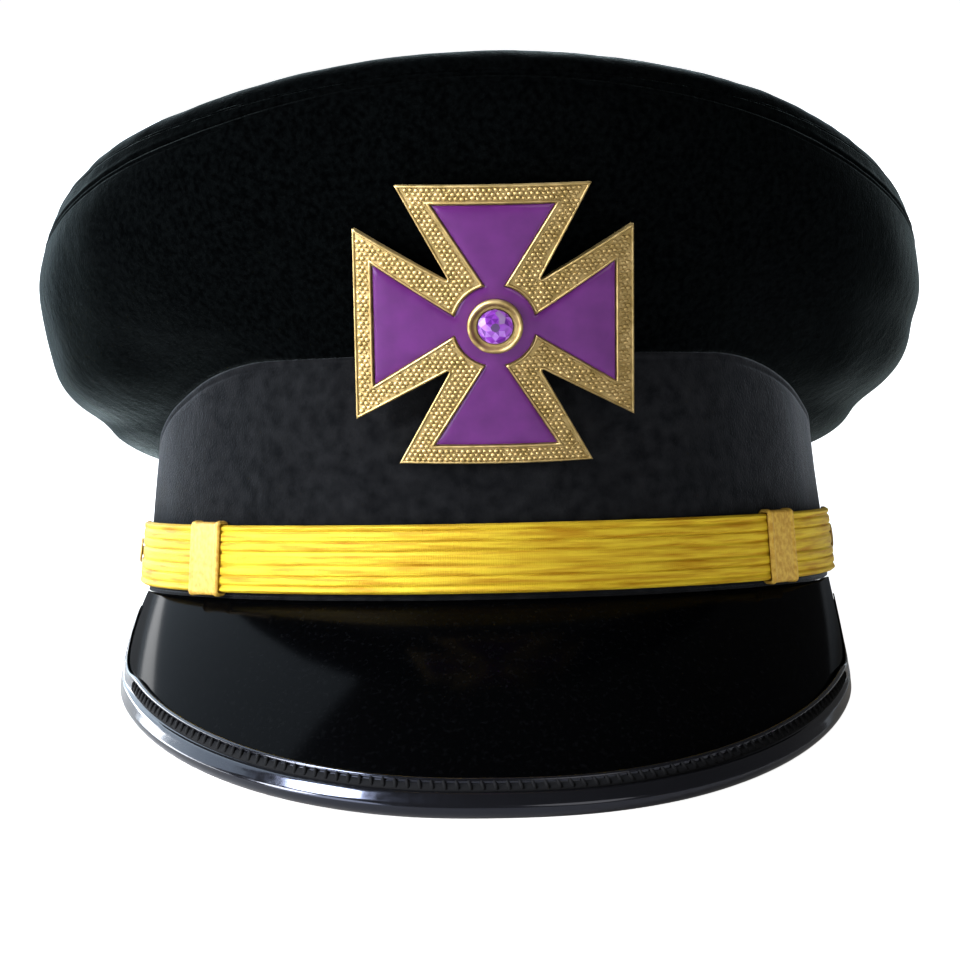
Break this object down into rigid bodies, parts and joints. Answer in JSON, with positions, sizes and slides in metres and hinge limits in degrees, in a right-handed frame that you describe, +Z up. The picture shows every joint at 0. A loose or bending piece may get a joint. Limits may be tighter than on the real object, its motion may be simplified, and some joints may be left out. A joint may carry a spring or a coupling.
{
  "type": "fatigue cap",
  "caption": "Black peaked fatigue cap with a wide flared cloth crown, a glossy bound peak, a gilt lace strap and a purple enamelled cross badge.",
  "frame": {"origin": "middle of the bounding box's bottom, on the table that the cap stands on", "axes": "+Z up, -Y to the front of the cap, +X to the viewer's right"},
  "size_m": [0.2322, 0.2952, 0.1595],
  "materials": {
    "crown_cloth": "black wool cloth, matt",
    "band_cloth": "black felted band cloth, matt",
    "patent_leather": "black patent leather, high gloss",
    "patent_binding": "black patent edge binding, gloss",
    "gilt_lace": "woven gold metallic lace, ribbed",
    "gilt_metal": "gilt, pebbled border",
    "purple_enamel": "opaque purple enamel, glossy",
    "purple_stone": "cut purple paste stone"
  },
  "bodies": {
    "root": {"band": "band_cloth", "crown_side": "crown_cloth", "crown_top": "crown_cloth", "peak": "patent_leather", "peak_binding": "patent_binding", "strap": "gilt_lace", "slide_left": "gilt_lace", "slide_right": "gilt_lace", "strap_stud_left": "gilt_metal", "strap_stud_right": "gilt_metal", "badge_plate": "gilt_metal", "badge_enamel": "purple_enamel", "badge_stone": "purple_stone"}
  },
  "joints": []
}
